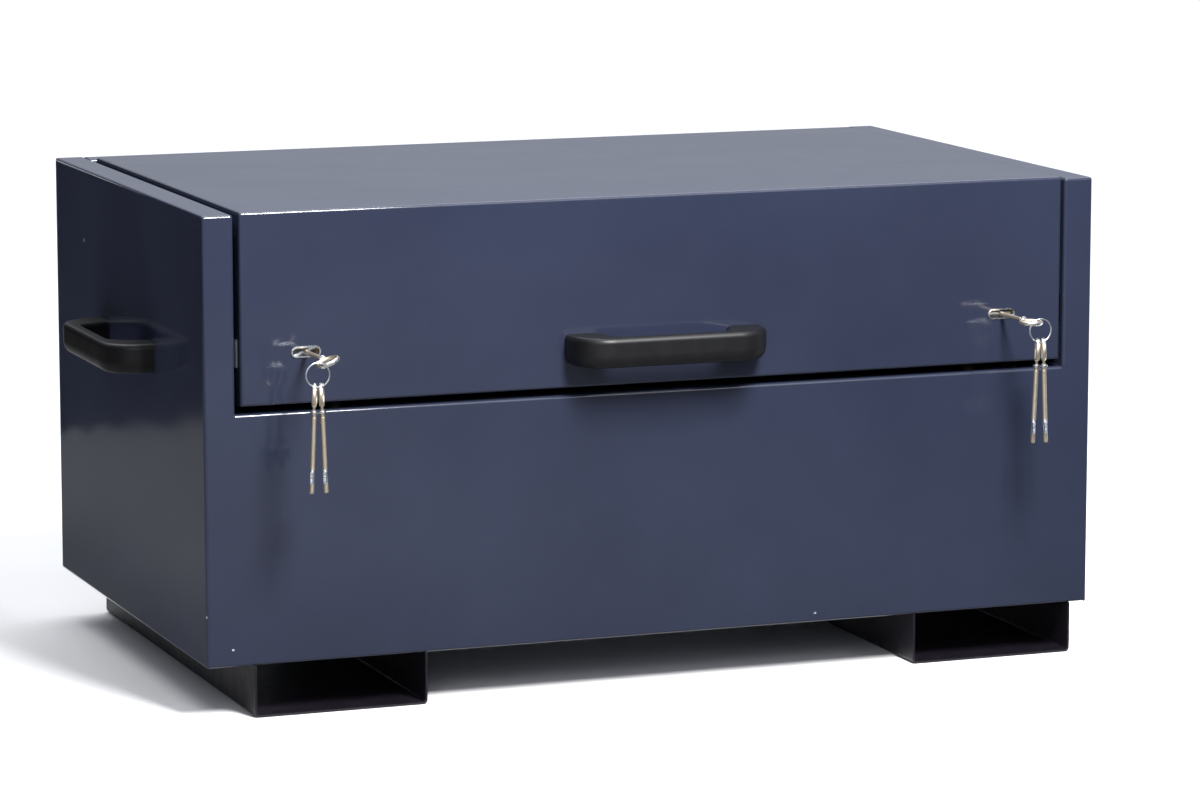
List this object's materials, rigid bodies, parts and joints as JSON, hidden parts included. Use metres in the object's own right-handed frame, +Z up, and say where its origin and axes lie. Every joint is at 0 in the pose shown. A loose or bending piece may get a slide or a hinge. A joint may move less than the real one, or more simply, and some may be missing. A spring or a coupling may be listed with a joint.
{
  "type": "site security box",
  "caption": "Low steel site box on two fork channels, with a lid that wraps over the top and upper front, keyed dead locks, bow handles and gas struts.",
  "frame": {"origin": "middle of the footprint of the whole object, handles and keys included, at ground level", "axes": "+X to the right as one faces the box, +Y from the front to the back, +Z up"},
  "size_m": [1.32, 0.806, 0.629],
  "materials": {
    "body_paint": "smooth blue-grey powder coat with a soft sheen",
    "skid_paint": "near-black paint, satin",
    "hardened_steel": "ground steel",
    "rubber_stop": "matt black",
    "handle_plastic": "fine-grained moulded black",
    "plated_steel": "bright zinc plate",
    "chrome_rim": "polished",
    "lever_brass": "stamped brass",
    "key_metal": "nickel-plated, worn to a warm tone at the shank",
    "strut_black": "gloss black"
  },
  "bodies": {
    "carcass": {"left_side_panel": "body_paint", "right_side_panel": "body_paint", "front_panel": "body_paint", "back_panel": "body_paint", "floor_panel": "body_paint", "left_gutter": "body_paint", "right_gutter": "body_paint", "left_skid": "skid_paint", "right_skid": "skid_paint", "left_strike_plate": "hardened_steel", "right_strike_plate": "hardened_steel", "lid_buffers": "rubber_stop", "left_side_handle": "handle_plastic", "right_side_handle": "handle_plastic", "left_handle_plate": "plated_steel", "right_handle_plate": "plated_steel", "side_handle_screws": "plated_steel", "left_hinge_body_leaf": "plated_steel", "middle_hinge_body_leaf": "plated_steel", "right_hinge_body_leaf": "plated_steel", "left_hinge_pin": "plated_steel", "middle_hinge_pin": "plated_steel", "right_hinge_pin": "plated_steel", "left_strut_foot_bracket": "plated_steel", "right_strut_foot_bracket": "plated_steel"},
    "lid": {"lid_panel": "body_paint", "front_lid_stiffener": "body_paint", "rear_lid_stiffener": "body_paint", "lid_handle": "handle_plastic", "lid_handle_plate": "plated_steel", "lid_handle_screws": "plated_steel", "left_hinge_lid_leaf": "plated_steel", "middle_hinge_lid_leaf": "plated_steel", "right_hinge_lid_leaf": "plated_steel", "left_lock_case": "plated_steel", "right_lock_case": "plated_steel", "left_lock_cap": "plated_steel", "right_lock_cap": "plated_steel", "left_escutcheon": "chrome_rim", "right_escutcheon": "chrome_rim", "left_lock_levers": "lever_brass", "right_lock_levers": "lever_brass", "lock_fixings": "plated_steel", "left_strut_head_bracket": "plated_steel", "right_strut_head_bracket": "plated_steel"},
    "left_bolt": {"left_bolt": "hardened_steel"},
    "left_key": {"left_key": "key_metal"},
    "left_key_ring": {"left_key_ring": "plated_steel"},
    "left_spare_key_a": {"left_spare_key_a": "key_metal"},
    "left_spare_key_b": {"left_spare_key_b": "key_metal"},
    "left_strut_cylinder": {"left_strut_cylinder": "strut_black"},
    "left_strut_rod": {"left_strut_rod": "chrome_rim"},
    "right_bolt": {"right_bolt": "hardened_steel"},
    "right_key": {"right_key": "key_metal"},
    "right_key_ring": {"right_key_ring": "plated_steel"},
    "right_spare_key_a": {"right_spare_key_a": "key_metal"},
    "right_spare_key_b": {"right_spare_key_b": "key_metal"},
    "right_strut_cylinder": {"right_strut_cylinder": "strut_black"},
    "right_strut_rod": {"right_strut_rod": "chrome_rim"}
  },
  "joints": [
    {"name": "lid_hinge", "type": "hinge", "parent": "carcass", "child": "lid", "pos_m": [0, 0.367, 0.62], "axis": [-1, 0, 0], "range_deg": [0, 85]},
    {"name": "left_key_turn", "type": "hinge", "parent": "lid", "child": "left_key", "pos_m": [-0.47, -0.3, 0.454], "axis": [0, -1, 0], "range_deg": [-20, 160]},
    {"name": "left_bolt_slide", "type": "slide", "parent": "lid", "child": "left_bolt", "axis": [-1, 0, 0], "range_m": [-0.002, 0.016]},
    {"name": "left_ring_swing", "type": "hinge", "parent": "left_key", "child": "left_key_ring", "pos_m": [-0.48269, -0.38775, 0.44938], "axis": [0, -1, 0], "range_deg": [-160, 20]},
    {"name": "left_spare_key_a_swing", "type": "hinge", "parent": "left_key_ring", "child": "left_spare_key_a", "pos_m": [-0.48669, -0.38775, 0.42398], "axis": [0.9336, -0.3584, 0], "range_deg": [-70, 25]},
    {"name": "left_spare_key_b_swing", "type": "hinge", "parent": "left_key_ring", "child": "left_spare_key_b", "pos_m": [-0.47869, -0.38775, 0.42398], "axis": [0.9336, -0.3584, 0], "range_deg": [-70, 25]},
    {"name": "right_key_turn", "type": "hinge", "parent": "lid", "child": "right_key", "pos_m": [0.47, -0.3, 0.454], "axis": [0, 1, 0], "range_deg": [0, 180]},
    {"name": "right_bolt_slide", "type": "slide", "parent": "lid", "child": "right_bolt", "axis": [1, 0, 0], "range_m": [0, 0.018]},
    {"name": "right_ring_swing", "type": "hinge", "parent": "right_key", "child": "right_key_ring", "pos_m": [0.4835, -0.38775, 0.454], "axis": [0, 1, 0], "range_deg": [-180, 0]},
    {"name": "right_spare_key_a_swing", "type": "hinge", "parent": "right_key_ring", "child": "right_spare_key_a", "pos_m": [0.4795, -0.38775, 0.42859], "axis": [0.9336, -0.3584, 0], "range_deg": [-70, 25]},
    {"name": "right_spare_key_b_swing", "type": "hinge", "parent": "right_key_ring", "child": "right_spare_key_b", "pos_m": [0.4875, -0.38775, 0.42859], "axis": [0.9336, -0.3584, 0], "range_deg": [-70, 25]},
    {"name": "left_strut_swing", "type": "hinge", "parent": "carcass", "child": "left_strut_cylinder", "pos_m": [-0.518, 0.307, 0.32], "axis": [-1, 0, 0], "range_deg": [0, 17.5]},
    {"name": "left_strut_slide", "type": "slide", "parent": "left_strut_cylinder", "child": "left_strut_rod", "axis": [0, -0.2467, 0.9691], "range_m": [0, 0.1443]},
    {"name": "right_strut_swing", "type": "hinge", "parent": "carcass", "child": "right_strut_cylinder", "pos_m": [0.518, 0.307, 0.32], "axis": [-1, 0, 0], "range_deg": [0, 17.5]},
    {"name": "right_strut_slide", "type": "slide", "parent": "right_strut_cylinder", "child": "right_strut_rod", "axis": [0, -0.2467, 0.9691], "range_m": [0, 0.1443]}
  ],
  "couplings": [
    {"joint": "left_bolt_slide", "follows": "left_key_turn", "m_per_rad": 0.0057295},
    {"joint": "left_ring_swing", "follows": "left_key_turn", "ratio": -1},
    {"joint": "right_bolt_slide", "follows": "right_key_turn", "m_per_rad": 0.0057295},
    {"joint": "right_ring_swing", "follows": "right_key_turn", "ratio": -1},
    {"joint": "left_strut_swing", "follows": "lid_hinge", "ratio": 0.20546},
    {"joint": "left_strut_slide", "follows": "lid_hinge", "m_per_rad": 0.09721},
    {"joint": "right_strut_swing", "follows": "lid_hinge", "ratio": 0.20546},
    {"joint": "right_strut_slide", "follows": "lid_hinge", "m_per_rad": 0.09721}
  ]
}
